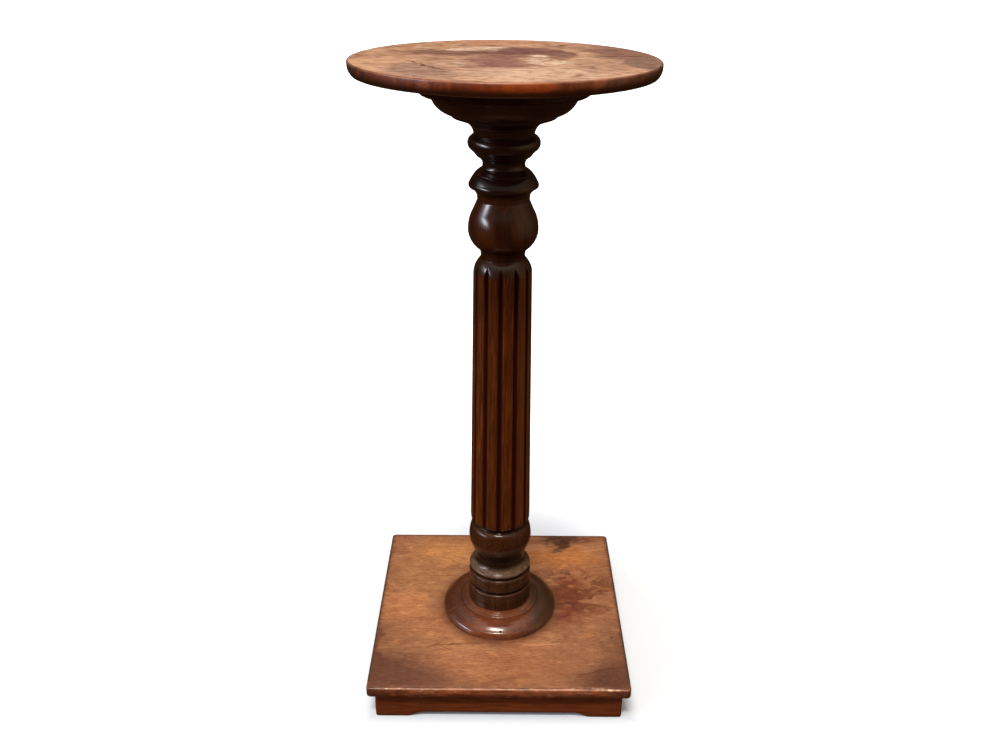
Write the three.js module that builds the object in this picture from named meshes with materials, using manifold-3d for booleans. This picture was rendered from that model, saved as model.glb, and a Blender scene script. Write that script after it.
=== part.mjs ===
// A turned and fluted wooden pedestal, in millimetres, with +Z up.
//
// The origin is on the floor, under the middle of the base, and the front faces -Y.
// A round board lies on a turned cap, the cap on a fluted column, the column on a domed
// collar, and the collar on a square board that four low rails carry clear of the floor.

import * as THREE from "three";
import { mergeVertices } from "three/addons/utils/BufferGeometryUtils.js";
import Module from "manifold-3d";

const wasm = await Module();
wasm.setup();

// Driving dimensions
const GAP = 0.3; // clearance between two pieces that touch
const BOARD_SIDE = 390; // the square base board
const BOARD_THICKNESS = 18;
const BOARD_EDGE_ROUND = 4;
const BOARD_CORNER_ROUND = 6;
const RAIL_HEIGHT = 45; // the rails under the base board
const RAIL_THICKNESS = 16;
const RAIL_INSET = 9.3; // how far the rails stand back from the board's edge
const FOOT_LENGTH = 45; // the flat foot that a rail leaves at each end
const ARCH_RISE = 8; // the cut-out between the two feet
const ARCH_RUN = 28; // length of the S-curve from foot to cut-out
const FLUTES = 12;
const FLUTE_DEPTH = 0.09; // as a share of the reed's radius
const FLUTE_TURN = -3; // degrees from the front to the nearest flute, to the left
const REED_FLATNESS = 4; // exponent of a reed's section: higher is flatter on top
const REED_RADIUS_TOP = 41.3; // over the reeds, at the height of SHAFT_TOP
const REED_RADIUS_BOTTOM = 46.2; // over the reeds, at the height of SHAFT_BOTTOM
const SHAFT_TOP = 574;
const SHAFT_BOTTOM = 175;
const NECK_HEIGHT = 603; // the narrow neck under the bulb, above which nothing is fluted
const GROOVE_HEIGHT = 172; // the groove under the shaft, where the flutes run out

// Fineness of the facets
const TURNED_SIDES = 40;
const TOP_SIDES = 64;
const ARC_TOLERANCE = 0.35; // sagitta that one facet of an arc may leave out
const REED_POINTS = [-1, -0.85, -0.65, -0.35, 0.35, 0.65, 0.85]; // across half a pitch each way

const BOARD_TOP = RAIL_HEIGHT + GAP + BOARD_THICKNESS;

// Turned outlines are lists of marks, as on a turner's stick, from the top down:
// [height above the base board, radius, how far the stretch to the next mark bows out].
// A bow below zero is a hollow, and a mark without one starts a straight stretch.
const TOP_MARKS = [
  [859.6, 0],
  [859.6, 195.5, 0.73],
  [857.1, 198],
  [846.9, 198, 1.3],
  [842.4, 193.5],
  [842.4, 0],
];

const CAP_MARKS = [
  // flange with its lower edge rounded over
  [842.1, 0],
  [842.1, 112],
  [822.5, 112, 1.5],
  [817.5, 107],
  // quarter round under a small step
  [815.4, 97],
  [807.1, 92.8, 3.3],
  [792.1, 69.6],
  // shallow dish down to the edge over the column's neck
  [788.4, 68.8],
  [782.2, 50.8],
  [778.2, 46],
  [778.2, 0],
];

const COLUMN_MARKS = [
  // hollow under the cap
  [777.9, 0],
  [777.9, 45.6],
  [777, 44.8, -0.8],
  [766.9, 40.3],
  // upper ring and the two steps under it
  [764.9, 39.6, 7.2],
  [744.9, 42.3],
  [741.3, 39.1],
  [737.9, 36.7],
  // deep hollow and small bead
  [736.7, 35.2, -3.6],
  [721.7, 29.7, 0.3],
  [714.7, 38.9],
  [713.9, 38.1],
  // skirt that flares out over the bulb
  [712.9, 39.9, 0.5],
  [700.3, 47.6, 0.9],
  [696.6, 46.6],
  [693.4, 41.2, -0.7],
  [685.3, 35.9],
  // pear-shaped bulb
  [679, 35.5, -0.2],
  [662.8, 42.7, 2],
  [634.3, 47.9, 3],
  [610.5, 32.2],
  // neck and the round shoulder of the shaft
  [603.8, 30.5],
  [598.4, 30.9, 1.2],
  [583.4, 40, 0.3],
  [SHAFT_TOP, 41.7],
  [182, 46.6],
  [SHAFT_BOTTOM, 45.2],
  // groove and lower ring
  [173, 41.4],
  [170.5, 41.2],
  [169.5, 42.4, 1.3],
  [138, 48.1, 1.2],
  [117, 39.4],
  [113, 37.2],
  // disc with a hollow upper face
  [108, 38, -2.2],
  [89.6, 46.4],
  [87.2, 48.5],
  [86.6, 44.6],
  [82, 44.6],
  // two bands with a groove between them
  [81.5, 47.6],
  [79.5, 48.3],
  [57.2, 48.6],
  [56.7, 45.4],
  [54.2, 45.4],
  [53.6, 48.8],
  [24.8, 49.4],
  [24.8, 0],
];

const COLLAR_MARKS = [
  // nearly flat ledge round the column's foot, up to an incised line
  [24.5, 0],
  [24.5, 51],
  [22.1, 61.2],
  [21.2, 62],
  [21.7, 62.8, 7],
  // dome down to the base board
  [2, 91],
  [GAP, 90.3],
  [GAP, 0],
];

// Wood colours
const WORN_TOP = new THREE.MeshStandardMaterial({ color: "#9a6a4b", roughness: 0.5 });
const DARK_TURNING = new THREE.MeshStandardMaterial({ color: "#3d2318", roughness: 0.3 });
const BROWN_COLUMN = new THREE.MeshStandardMaterial({ color: "#4c2c1a", roughness: 0.35 });
const RED_COLLAR = new THREE.MeshStandardMaterial({ color: "#6f3f2a", roughness: 0.35 });
const ORANGE_BOARD = new THREE.MeshStandardMaterial({ color: "#a5683f", roughness: 0.45 });
const ORANGE_RAIL = new THREE.MeshStandardMaterial({ color: "#7d431f", roughness: 0.5 });

// Points of one circular arc from a to b, b left out, that bows out by the sagitta "bow".
function arcPoints(a, b, bow) {
  const chord = b.clone().sub(a);
  const length = chord.length();
  const along = chord.clone().divideScalar(length);
  const outward = new THREE.Vector2(-along.y, along.x);
  const radius = (length * length / 4 + bow * bow) / (2 * Math.abs(bow));
  const half = Math.asin(length / 2 / radius);
  const steps = Math.ceil(Math.sqrt(Math.abs(bow) / ARC_TOLERANCE));
  const points = [];
  for (let i = 0; i < steps; i++) {
    const angle = (2 * i / steps - 1) * half;
    const shift = Math.sign(bow) * (radius * Math.cos(angle) - radius + Math.abs(bow));
    const point = a.clone().add(b).divideScalar(2);
    point.addScaledVector(along, radius * Math.sin(angle));
    point.addScaledVector(outward, shift);
    points.push(point);
  }
  return points;
}

// A solid of revolution about Z from a list of marks.
function turned(marks, sides) {
  const stations = marks.map(([height, radius]) => new THREE.Vector2(radius, height + BOARD_TOP));
  stations.reverse();
  const bows = marks.slice(0, -1).map((mark) => mark[2] ?? 0);
  bows.reverse();
  const outline = [];
  for (const [i, bow] of bows.entries()) {
    const start = stations[i];
    const end = stations[i + 1];
    // the outline runs upwards here, so "outward" is to its right
    outline.push(...(bow ? arcPoints(start, end, -bow) : [start]));
  }
  outline.push(stations.at(-1));
  return new THREE.LatheGeometry(outline, sides).rotateX(Math.PI / 2);
}

// A closed geometry as a solid: shared corners are merged and faces without area dropped.
function solid(geometry) {
  const bare = geometry.clone();
  bare.deleteAttribute("normal");
  bare.deleteAttribute("uv");
  const merged = mergeVertices(bare, 1e-4);
  const index = merged.index.array;
  const faces = [];
  for (let i = 0; i < index.length; i += 3) {
    const [a, b, c] = index.slice(i, i + 3);
    if (a !== b && b !== c && c !== a) faces.push(a, b, c);
  }
  const mesh = new wasm.Mesh({
    numProp: 3,
    vertProperties: new Float32Array(merged.attributes.position.array),
    triVerts: new Uint32Array(faces),
  });
  return new wasm.Manifold(mesh);
}

// A solid back as a geometry.
function geometryOf(shape) {
  const mesh = shape.getMesh();
  const geometry = new THREE.BufferGeometry();
  geometry.setAttribute("position", new THREE.BufferAttribute(mesh.vertProperties, 3));
  geometry.setIndex(new THREE.BufferAttribute(mesh.triVerts, 1));
  geometry.computeVertexNormals();
  return geometry;
}

// The twelve reeds as one tapered bar. Its radius is 1 on a reed's crown and falls by
// FLUTE_DEPTH times |u| to the power REED_FLATNESS, with u from -1 to 1 across the reed.
function reededBar(bottom, top) {
  const pitch = 2 * Math.PI / FLUTES;
  const firstFlute = THREE.MathUtils.degToRad(FLUTE_TURN - 90);
  const points = [];
  for (let reed = 0; reed < FLUTES; reed++) {
    for (const u of REED_POINTS) {
      const radius = 1 - FLUTE_DEPTH * Math.abs(u) ** REED_FLATNESS;
      const angle = firstFlute + (reed + 0.5 + u / 2) * pitch;
      points.push(new THREE.Vector2(radius * Math.cos(angle), radius * Math.sin(angle)));
    }
  }
  const bar = new THREE.ExtrudeGeometry(new THREE.Shape(points), {
    depth: top - bottom,
    bevelEnabled: false,
  });
  bar.translate(0, 0, bottom);
  const slope = (REED_RADIUS_TOP - REED_RADIUS_BOTTOM) / (SHAFT_TOP - SHAFT_BOTTOM);
  const position = bar.attributes.position;
  for (let i = 0; i < position.count; i++) {
    const z = position.getZ(i);
    const crown = REED_RADIUS_BOTTOM + slope * (z - BOARD_TOP - SHAFT_BOTTOM);
    position.setXYZ(i, position.getX(i) * crown, position.getY(i) * crown, z);
  }
  return bar;
}

// The column is turned first. Then all that lies outside the reeds is cut away between
// the groove and the neck, so each flute runs out in a pointed arch on the shoulder.
function column() {
  const bottom = BOARD_TOP + GROOVE_HEIGHT;
  const top = BOARD_TOP + NECK_HEIGHT;
  const overrun = 5;
  const sleeve = new THREE.CylinderGeometry(60, 60, top - bottom, TURNED_SIDES);
  sleeve.rotateX(Math.PI / 2).translate(0, 0, (top + bottom) / 2);
  const waste = solid(sleeve).subtract(solid(reededBar(bottom - overrun, top + overrun)));
  return geometryOf(solid(turned(COLUMN_MARKS, TURNED_SIDES)).subtract(waste));
}

// The square base board, with round corners in plan and its edges rounded over.
function baseBoard() {
  const half = BOARD_SIDE / 2;
  const centre = half - BOARD_CORNER_ROUND;
  const plan = new THREE.Shape();
  for (let corner = 0; corner < 4; corner++) {
    const start = corner * Math.PI / 2;
    const x = centre * Math.SQRT2 * Math.cos(start + Math.PI / 4);
    const y = centre * Math.SQRT2 * Math.sin(start + Math.PI / 4);
    plan.absarc(x, y, BOARD_CORNER_ROUND, start, start + Math.PI / 2);
  }
  plan.closePath();
  const board = new THREE.ExtrudeGeometry(plan, {
    depth: BOARD_THICKNESS - 2 * BOARD_EDGE_ROUND,
    bevelThickness: BOARD_EDGE_ROUND,
    bevelSize: BOARD_EDGE_ROUND,
    bevelOffset: -BOARD_EDGE_ROUND,
    bevelSegments: 3,
    curveSegments: 4,
  });
  return board.translate(0, 0, BOARD_TOP - BOARD_THICKNESS + BOARD_EDGE_ROUND);
}

// The front rail: its face, with a foot at each end and the cut-out between them, is
// carried through the rail's thickness, and both ends are then mitred.
function rail() {
  const outer = BOARD_SIDE / 2 - RAIL_INSET;
  const footEnd = outer - FOOT_LENGTH;
  const archStart = footEnd - ARCH_RUN;
  const face = new THREE.Shape();
  face.moveTo(-outer, RAIL_HEIGHT);
  face.lineTo(-outer, 0);
  face.lineTo(-footEnd, 0);
  const lean = ARCH_RUN * 0.45;
  face.bezierCurveTo(-footEnd + lean, 0, -archStart - lean, ARCH_RISE, -archStart, ARCH_RISE);
  face.lineTo(archStart, ARCH_RISE);
  face.bezierCurveTo(archStart + lean, ARCH_RISE, footEnd - lean, 0, footEnd, 0);
  face.lineTo(outer, 0);
  face.lineTo(outer, RAIL_HEIGHT);
  const bar = new THREE.ExtrudeGeometry(face, {
    depth: RAIL_THICKNESS,
    bevelEnabled: false,
    curveSegments: 6,
  });
  bar.rotateX(Math.PI / 2).translate(0, RAIL_THICKNESS - outer, 0);

  const cut = GAP * Math.SQRT1_2;
  const inner = outer - RAIL_THICKNESS;
  const plan = new THREE.Shape();
  plan.moveTo(cut - outer, -outer);
  plan.lineTo(outer - cut, -outer);
  plan.lineTo(inner - cut, -inner);
  plan.lineTo(cut - inner, -inner);
  const mitred = new THREE.ExtrudeGeometry(plan, { depth: RAIL_HEIGHT, bevelEnabled: false });
  return geometryOf(solid(bar).intersect(solid(mitred)));
}

function piece(name, geometry, material) {
  const mesh = new THREE.Mesh(geometry, material);
  mesh.name = name;
  return mesh;
}

const pedestal = new THREE.Group();
pedestal.add(piece("top_board", turned(TOP_MARKS, TOP_SIDES), WORN_TOP));
pedestal.add(piece("cap_moulding", turned(CAP_MARKS, TURNED_SIDES), DARK_TURNING));
pedestal.add(piece("column", column(), BROWN_COLUMN));
pedestal.add(piece("base_collar", turned(COLLAR_MARKS, TURNED_SIDES), RED_COLLAR));
pedestal.add(piece("plinth_board", baseBoard(), ORANGE_BOARD));

// One rail on each side, counted from the front to the right as seen from above
const SIDES = ["front", "right", "back", "left"];
for (const [turn, side] of SIDES.entries()) {
  const mesh = piece(`skirt_${side}`, rail(), ORANGE_RAIL);
  mesh.rotation.z = turn * Math.PI / 2;
  pedestal.add(mesh);
}

export default pedestal;
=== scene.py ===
import math

import bpy
import numpy as np
from mathutils import Matrix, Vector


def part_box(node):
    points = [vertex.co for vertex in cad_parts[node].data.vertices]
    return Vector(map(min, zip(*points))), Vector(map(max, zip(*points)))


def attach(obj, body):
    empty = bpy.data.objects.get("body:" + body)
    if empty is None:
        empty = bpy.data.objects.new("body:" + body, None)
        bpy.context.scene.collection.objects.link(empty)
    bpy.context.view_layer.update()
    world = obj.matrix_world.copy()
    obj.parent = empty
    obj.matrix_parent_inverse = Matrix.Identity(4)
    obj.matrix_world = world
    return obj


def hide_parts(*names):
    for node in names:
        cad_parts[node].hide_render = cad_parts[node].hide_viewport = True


# Looks of a fluted wooden pedestal: a worn round top on a turned cap, a fluted column with
# turned ends, a domed collar and a square base board on four low rails.
# Lengths are metres, with the origin on the floor under the middle and the front towards -Y.
# Angles round the axis are counted from the front towards +X.

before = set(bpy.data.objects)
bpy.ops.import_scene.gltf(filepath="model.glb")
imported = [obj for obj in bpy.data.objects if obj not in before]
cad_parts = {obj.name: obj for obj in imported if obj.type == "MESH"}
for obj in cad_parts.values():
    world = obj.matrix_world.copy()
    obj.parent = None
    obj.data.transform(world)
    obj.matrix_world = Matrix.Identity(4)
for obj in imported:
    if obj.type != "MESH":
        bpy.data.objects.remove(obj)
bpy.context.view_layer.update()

# Driving dimensions, read from the frame where it has them
MM = 0.001
BOARD_LOW, BOARD_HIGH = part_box("plinth_board")
RAIL_LOW, RAIL_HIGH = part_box("skirt_front")
BOARD_TOP = BOARD_HIGH.z
BOARD_HALF = BOARD_HIGH.x
BOARD_CORNER = 6 * MM  # round corner in plan
BOARD_UPPER_ROUND = 2.4 * MM
BOARD_LOWER_ROUND = 4.8 * MM
RAIL_TOP = RAIL_HIGH.z
RAIL_INSET = 1.3 * MM
RAIL_OUTER = -RAIL_LOW.y - RAIL_INSET
RAIL_THICK = RAIL_HIGH.y - RAIL_LOW.y - RAIL_INSET
RAIL_ROUND = 1.6 * MM
RAIL_CORNER = 4 * MM  # round corner in plan
RAIL_END = 4 * MM  # length at each end that is drawn with closer steps
AROUND_TOP, AROUND_CAP, AROUND_COLLAR = 384, 320, 256  # points round each turned piece
REED_STEPS = 24  # points across each reed
MITRE_GAP = 0.3 * MM / math.sqrt(2)
FOOT_LENGTH = 45 * MM
ARCH_RISE = 8 * MM
ARCH_RUN = 28 * MM
ARCH_LEAN = 0.45  # how far the S-curve's handles reach, as a share of its run
FLUTES = 12
FLUTE_DEPTH = 0.095  # as a share of the reed's radius
FLUTE_EDGE = 0.58  # where a flute's wall starts, as a share of half a reed
FLUTE_SOFT = 0.14
FLUTE_TURN = math.radians(-3)
REED_CROWN = 0.005  # how much lower a reed's sides are than its middle, as a share of its radius
REED_TOP = (574 * MM, 41.3 * MM)  # height above the base board, radius over the reeds
REED_BOTTOM = (175 * MM, 46.2 * MM)
FLUTED_HEIGHTS = (172.4 * MM, 603 * MM)
FLUTE_BLEND = 0.25 * MM  # how softly the flutes meet the turned shoulder
EDGE_DENTS = [  # along the base board's front edge from the left: place, half length, depth in mm
    (-176, 5, 0.9), (-158, 3, 0.5), (-131, 6, 0.7), (-112, 2.5, 0.8), (-70, 4, 0.4), (-41, 7, 0.5),
    (-12, 3, 0.6), (35, 5, 0.4), (74, 3, 0.7), (96, 6, 0.5), (141, 4, 0.8), (168, 3, 0.5),
]
NAIL_HOLE = (1.5, 85.5 * MM, 1.6 * MM, 2.2 * MM)  # degrees from the front, radius, size, depth

# Turned outlines from the top down, in millimetres: height above the base board, radius and
# how far the stretch to the next mark bows out. A bow below zero is a hollow.
TOP_MARKS = [
    (859.6, 0), (859.6, 195.8, 0.6), (857.4, 198), (854, 198, 1.25), (842.4, 193.2), (842.4, 0),
]
CAP_MARKS = [
    (842.1, 0), (842.1, 112), (822.5, 112, 1.5), (817.5, 107), (815.4, 97), (807.1, 92.8, 3.3),
    (792.1, 69.6), (788.4, 68.8), (782.2, 50.8), (778.2, 46), (778.2, 0),
]
COLUMN_MARKS = [
    (777.9, 0), (777.9, 45.6), (777, 44.8, -0.8), (766.9, 40.3), (764.9, 39.6, 7.2), (744.9, 42.3),
    (741.3, 39.1), (737.9, 36.7), (736.7, 35.2, -3.6), (721.7, 29.7, 0.3), (714.7, 38.9), (713.9, 38.1),
    (712.9, 39.9, 0.4), (703.4, 45.7, 0.8), (697.2, 46.9), (693.4, 41.2, -0.7), (685.3, 35.9),
    (679, 35.5, -0.2), (662.8, 42.7, 2), (634.3, 47.9, 3), (610.5, 32.2), (603.8, 30.5),
    (598.4, 30.9, 1.2), (583.4, 40, 0.3), (574, 41.7), (182, 46.6), (174.5, 45.2), (172.5, 41),
    (166.9, 38.8), (165.6, 39.8, 1.6), (156.8, 46.7, 0.7), (138, 48.4, 1.3), (117, 39.4), (113, 37.2),
    (108, 38, -2.2), (91.4, 45, 0.9), (87, 48.4, 0.5), (86, 46.6), (85.4, 42), (81.4, 42, 0.3),
    (80.4, 45.8, 1.6), (74, 48.4, 0.5), (61.6, 48.4, 1.1), (57.8, 46.2), (57, 43.4), (54, 43.4),
    (53.2, 46.4, 1.5), (47.6, 48.8, 0.4), (28, 49.3, 0.5), (24.8, 48.8), (24.8, 0),
]
COLLAR_MARKS = [
    (24.5, 0), (24.5, 51), (23.1, 57), (22.6, 57.4), (22.9, 57.9), (22.1, 61.2), (21.2, 62),
    (21.7, 62.8, 1.25), (18.4, 79.6, 0.25), (12.6, 87, 1.9), (2, 90.4), (0.3, 90.3), (0.3, 0),
]


# Camera
CAMERA_PLACE = (-0.00425, -1.26374, 1.08599)
CAMERA_HEADING = math.radians(-0.3143)  # turned right by this much
CAMERA_PITCH = math.radians(25.769)  # looking down by this much
CAMERA_ROLL = math.radians(0.6439)
CAMERA_LENS = 34.36
SENSOR = 36.0


def photo_camera():
    """The camera at the photograph's height, distance and angle."""
    heading, pitch, roll = CAMERA_HEADING, CAMERA_PITCH, CAMERA_ROLL
    right = np.array([math.cos(heading), math.sin(heading), 0])
    ahead = np.array([-math.sin(heading), math.cos(heading), 0])
    forward = ahead * math.cos(pitch) - np.array([0, 0, math.sin(pitch)])
    up = np.cross(right, forward)
    right_rolled = right * math.cos(roll) + up * math.sin(roll)
    up_rolled = up * math.cos(roll) - right * math.sin(roll)
    data = bpy.data.cameras.new("camera")
    data.lens = CAMERA_LENS
    data.sensor_width = SENSOR
    data.clip_end = 100
    camera = bpy.data.objects.new("camera", data)
    turn = np.eye(4)
    turn[:3, :3] = np.stack([right_rolled, up_rolled, -forward], axis=1)
    turn[:3, 3] = CAMERA_PLACE
    camera.matrix_world = Matrix(turn.tolist())
    bpy.context.scene.collection.objects.link(camera)
    bpy.context.scene.camera = camera


photo_camera()


# Outlines
def bowed(start, end, bow, step):
    """Points from start up to, but not at, end. With a bow they lie on the circle whose
    sagitta over the chord is the bow, to the left of the way down; without one, on the chord."""
    chord = end - start
    length = np.hypot(*chord)
    count = max(1, math.ceil(length / step))
    share = np.arange(count) / count
    if not bow:
        return start + share[:, None] * chord
    along = chord / length
    outward = np.array([-along[1], along[0]])
    radius = (length * length / 4 + bow * bow) / (2 * abs(bow))
    angle = (2 * share - 1) * math.asin(min(1, length / 2 / radius))
    lift = math.copysign(1, bow) * (radius * np.cos(angle) - radius + abs(bow))
    middle = (start + end) / 2
    return middle + (radius * np.sin(angle))[:, None] * along + lift[:, None] * outward


def softened(line, cut):
    """The line with each corner sharper than 12 degrees replaced by a short parabola, which
    leaves and meets the two sides at most cut away from the corner."""
    before = line[:-2] - line[1:-1]
    after = line[2:] - line[1:-1]
    before_length = np.hypot(*before.T)
    after_length = np.hypot(*after.T)
    cosine = -(before * after).sum(1) / (before_length * after_length)
    sharp = cosine < math.cos(math.radians(12))
    pull = np.minimum(cut, 0.4 * np.minimum(before_length, after_length))
    first = line[1:-1] + before * (pull / before_length)[:, None]
    last = line[1:-1] + after * (pull / after_length)[:, None]
    t = np.array([0, 1 / 3, 2 / 3, 1])[:, None, None]
    curves = (1 - t) ** 2 * first + 2 * t * (1 - t) * line[1:-1] + t**2 * last
    inner = [curves[:, i] if sharp[i] else line[i + 1 : i + 2] for i in range(len(sharp))]
    return np.concatenate([line[:1], *inner, line[-1:]])


def turned_line(marks, arc_step, straight_step, cut):
    """The outline (radius, height) of a turned piece, from the top of its axis to the bottom."""
    spots = np.array([(radius, height) for height, radius, *_ in marks]) * MM
    spots[:, 1] += BOARD_TOP
    parts = []
    for i, mark in enumerate(marks[:-1]):
        bow = mark[2] * MM if len(mark) > 2 else 0
        parts.append(bowed(spots[i], spots[i + 1], bow, arc_step if bow else straight_step))
    line = np.concatenate([*parts, spots[-1:]])
    return softened(line, cut)


def bending(line, reach):
    """How much an outline turns near each of its points, in radians: the sum of its corner
    angles, each faded by a bell curve of the distance along the line. Above zero is an edge
    that stands out, below zero is a hollow corner."""
    steps = np.diff(line, axis=0)
    heading = np.unwrap(np.arctan2(steps[:, 1], steps[:, 0]))
    corner = np.zeros(len(line))
    corner[1:-1] = -np.diff(heading)
    travelled = np.concatenate([[0], np.cumsum(np.hypot(*steps.T))])
    apart = travelled[:, None] - travelled[None, :]
    return np.exp(-((apart / reach) ** 2)) @ corner


# Meshes
def shell(name, points, faces, marks):
    """A closed mesh piece. Faces are arrays of corner numbers, all turned over if the volume
    they hold comes out below zero. Marks are named values, one for each point."""
    volume = sum(
        np.einsum("ij,ij->", points[f[:, 0]], np.cross(points[f[:, k]], points[f[:, k + 1]]))
        for f in faces
        for k in range(1, f.shape[1] - 1)
    )
    if volume < 0:
        faces = [f[:, ::-1] for f in faces]
    mesh = bpy.data.meshes.new(name)
    mesh.vertices.add(len(points))
    mesh.vertices.foreach_set("co", points.astype(np.float32).ravel())
    corners = np.concatenate([f.ravel() for f in faces]).astype(np.int32)
    sizes = np.concatenate([np.full(len(f), f.shape[1]) for f in faces]).astype(np.int32)
    mesh.loops.add(len(corners))
    mesh.loops.foreach_set("vertex_index", corners)
    mesh.polygons.add(len(sizes))
    mesh.polygons.foreach_set("loop_start", np.cumsum(sizes) - sizes)
    mesh.polygons.foreach_set("loop_total", sizes)
    mesh.update(calc_edges=True)
    mesh.validate()
    mesh.shade_smooth()
    for mark, values in marks.items():
        kind = "FLOAT" if values.ndim == 1 else "FLOAT_VECTOR"
        layer = mesh.attributes.new(mark, kind, "POINT")
        layer.data.foreach_set(
            "value" if kind == "FLOAT" else "vector", values.astype(np.float32).ravel()
        )
    piece = bpy.data.objects.new(name, mesh)
    bpy.context.scene.collection.objects.link(piece)
    return piece


def ringed(name, rings, marks):
    """A closed piece from rings of points: an array of rows by places round, wrapped round,
    with the first and the last row drawn together into one point each."""
    rows, around = rings.shape[:2]
    body = rings[1:-1].reshape(-1, 3)
    first, last = rings[0].mean(0), rings[-1].mean(0)
    points = np.concatenate([body, [first, last]])
    number = np.arange((rows - 2) * around).reshape(rows - 2, around)
    beside = np.roll(number, -1, axis=1)
    sides = np.stack([number[:-1], number[1:], beside[1:], beside[:-1]], -1).reshape(-1, 4)
    top = np.stack([np.full(around, len(body)), number[0], beside[0]], -1)
    bottom = np.stack([np.full(around, len(body) + 1), beside[-1], number[-1]], -1)
    flat = {}
    for mark, values in marks.items():
        wide = np.broadcast_to(values, rings.shape[:2] + values.shape[2:])
        ends = [wide[0].mean(0), wide[-1].mean(0)]
        inner = wide[1:-1].reshape((-1,) + values.shape[2:])
        flat[mark] = np.concatenate([inner, np.array(ends)])
    return shell(name, points, [sides, np.concatenate([top, bottom])], flat)


def spun(radius, height, angle):
    """Rings of points at radius and height, turned by angle from the front towards +X."""
    radius, height, angle = np.broadcast_arrays(radius, height, angle)
    return np.stack([radius * np.sin(angle), -radius * np.cos(angle), height], -1)


def smoothstep(low, high, value):
    """0 below low, 1 above high, and 3t^2 - 2t^3 between them."""
    t = np.clip((value - low) / (high - low), 0, 1)
    return t * t * (3 - 2 * t)


def edge_marks(line, reach=1.4 * MM):
    """Named values that tell a finish where an outline has edges that stand out and hollow corners."""
    turn = bending(line, reach)
    return {
        "arris": smoothstep(0.15, 1.3, turn)[:, None],
        "corner": smoothstep(0.15, 1.3, -turn)[:, None],
    }


def plank(points, order=(0, 1, 2), shift=0.0):
    """Each point's place in the plank that its piece was cut from, with the grain along the
    first number."""
    return points[..., list(order)] + shift


def top_board():
    """The round top: its outline turned about the axis, and a mark that is 1 on the rim and
    under the board and 0 on the upper face."""
    line = turned_line(TOP_MARKS, 0.5 * MM, 6 * MM, 0.4 * MM)
    angle = np.linspace(0, 2 * math.pi, AROUND_TOP, endpoint=False)
    radius, height = line[:, 0, None], line[:, 1, None]
    rings = spun(radius, height, angle)
    face_edge = (TOP_MARKS[1][1] - 0.5) * MM
    below = line[:, 1].max() - height
    rim = smoothstep(0, 1.6 * MM, radius - face_edge) + smoothstep(1 * MM, 3 * MM, below)
    marks = {**edge_marks(line), "rim": np.clip(rim, 0, 1), "plank": plank(rings)}
    return ringed("worn_round_top", rings, marks)


def cap():
    """The cap: its outline turned about the axis."""
    line = turned_line(CAP_MARKS, 0.9 * MM, 8 * MM, 0.45 * MM)
    angle = np.linspace(0, 2 * math.pi, AROUND_CAP, endpoint=False)
    rings = spun(line[:, 0, None], line[:, 1, None], angle)
    marks = {**edge_marks(line), "plank": plank(rings)}
    return ringed("turned_cap", rings, marks)


def reed_angles(steps):
    """Angles round the shaft and each one's place u across its reed, from -1 at one flute to
    1 at the next. For an even step t, u is 1 - (1 - |t|)^1.6 with the sign of t, which draws
    the points together at the flutes."""
    even = np.linspace(-1, 1, steps, endpoint=False)
    across = np.sign(even) * (1 - (1 - np.abs(even)) ** 1.6)
    reed = np.arange(FLUTES)[:, None]
    pitch = 2 * math.pi / FLUTES
    angle = FLUTE_TURN + (reed + 0.5 + across / 2) * pitch
    return angle.ravel(), np.tile(across, FLUTES)


def flute_wall(across):
    """How far down a flute's wall a place across the reed lies, from 0 on the reed to 1 in the
    bottom: v = (|u| - FLUTE_EDGE) / (1 - FLUTE_EDGE), rounded at its start as
    (v + sqrt(v^2 + FLUTE_SOFT^2)) / 2."""
    v = (np.abs(across) - FLUTE_EDGE) / (1 - FLUTE_EDGE)
    return (v + np.sqrt(v * v + FLUTE_SOFT**2)) / 2


def column():
    """The column: its turned radius, cut down to the reeds' radius between the groove and the
    neck. The reeds' radius is the crown's, less FLUTE_DEPTH times the flute wall. The lesser
    of the two is taken softly, as -k ln(exp(-a/k) + exp(-b/k))."""
    line = turned_line(COLUMN_MARKS, 1.5 * MM, 10 * MM, 0.45 * MM)
    angle, across = reed_angles(REED_STEPS)
    radius, height = line[:, 0, None], line[:, 1, None]
    above = height - BOARD_TOP
    slope = (REED_TOP[1] - REED_BOTTOM[1]) / (REED_TOP[0] - REED_BOTTOM[0])
    crown = REED_BOTTOM[1] + slope * (above - REED_BOTTOM[0])
    wall = flute_wall(across)
    reeds = crown * (1 - FLUTE_DEPTH * wall - REED_CROWN * across**2)
    low = np.minimum(radius, reeds)
    high = np.maximum(radius, reeds)
    cut = low - FLUTE_BLEND * np.log1p(np.exp(-(high - low) / FLUTE_BLEND))
    inside = (above > FLUTED_HEIGHTS[0]) & (above < FLUTED_HEIGHTS[1])
    cut = np.where(inside, cut, radius)
    rings = spun(cut, height, angle)
    reeded = np.where(inside, smoothstep(-1.2 * MM, 0.6 * MM, radius - reeds), 0)
    notch = np.where(inside, smoothstep(-0.2 * MM, 0.4 * MM, radius - reeds), 0) * wall
    along = plank(rings, (2, 0, 1))
    marks = {**edge_marks(line), "reeded": reeded, "notch": notch, "plank": along}
    return ringed("fluted_column", rings, marks)


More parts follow.
